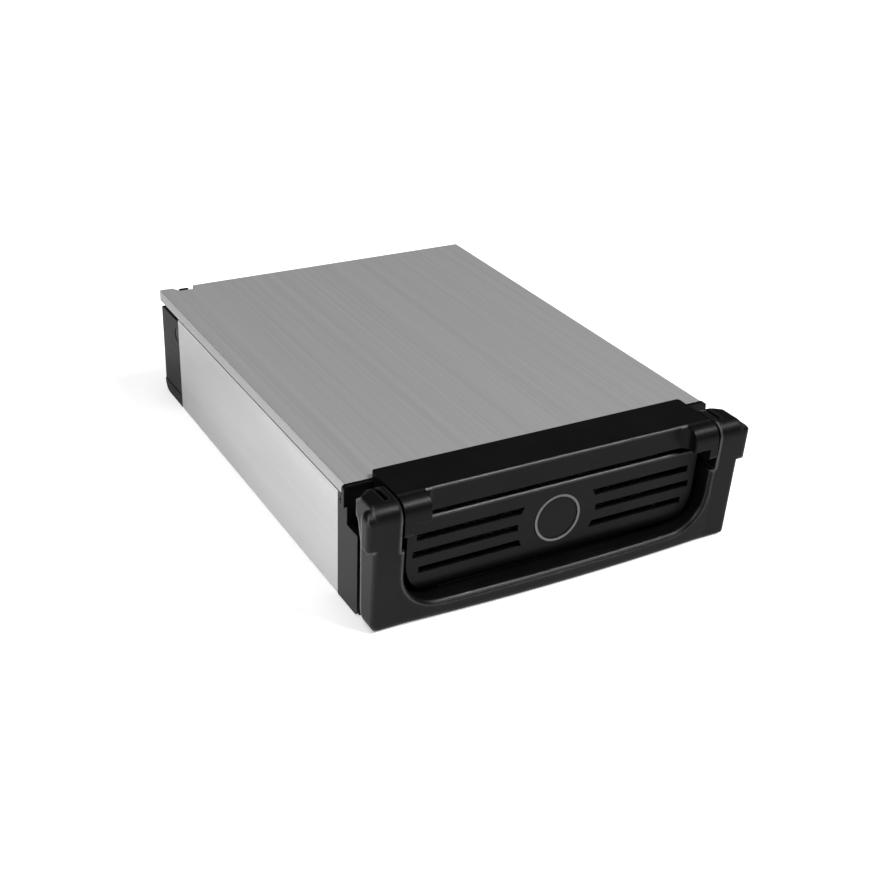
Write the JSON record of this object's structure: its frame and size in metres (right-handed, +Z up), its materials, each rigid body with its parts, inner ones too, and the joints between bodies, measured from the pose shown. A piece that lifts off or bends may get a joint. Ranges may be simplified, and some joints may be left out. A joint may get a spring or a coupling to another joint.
{
  "type": "removable drive tray",
  "caption": "Removable drive tray: an aluminium channel with a sliding cover, a black front with a slotted grille, a plain round badge and a bail handle, and a rear cap with connectors.",
  "frame": {"origin": "centre of the overall box, at the underside of the channel's floor", "axes": "+X to the right seen from the front, +Y from the handle to the rear connector, +Z up"},
  "size_m": [0.1276, 0.1748, 0.0405],
  "materials": {
    "satin_aluminium": "satin",
    "brushed_aluminium": "brushed lengthwise",
    "black_plastic": "finely textured",
    "badge_plastic": "smooth satin",
    "bright_ring": "polished",
    "plated_steel": "zinc plated",
    "black_steel": "black oxide",
    "circuit_board": "solder mask",
    "connector_plastic": "moulded",
    "gold_contacts": "gold plated",
    "capacitor_can": "smooth"
  },
  "bodies": {
    "tray": {"channel_tray": "satin_aluminium", "front_bezel": "black_plastic", "grille_panel": "black_plastic", "badge_ring": "bright_ring", "badge_disc": "badge_plastic", "pivot_pin_left": "plated_steel", "pivot_pin_right": "plated_steel", "front_screws": "plated_steel", "rear_cap": "black_plastic", "cap_screws": "black_steel", "adapter_board": "circuit_board", "board_screws": "plated_steel", "drive_connector": "connector_plastic", "drive_contacts": "gold_contacts", "dock_connector": "connector_plastic", "dock_contacts": "gold_contacts", "board_capacitors": "capacitor_can"},
    "handle": {"bail_handle": "black_plastic"},
    "cover": {"sliding_cover": "brushed_aluminium", "latch_guide": "plated_steel"},
    "latch": {"cover_latch": "black_plastic"}
  },
  "joints": [
    {"name": "handle_lift", "type": "hinge", "parent": "tray", "child": "handle", "pos_m": [0, -0.0802, 0.0335], "axis": [-1, 0, 0], "range_deg": [0, 90]},
    {"name": "cover_slide", "type": "slide", "parent": "tray", "child": "cover", "axis": [0, 1, 0], "range_m": [0, 0.136]},
    {"name": "latch_slide", "type": "slide", "parent": "cover", "child": "latch", "axis": [1, 0, 0], "range_m": [0, 0.0019]}
  ]
}
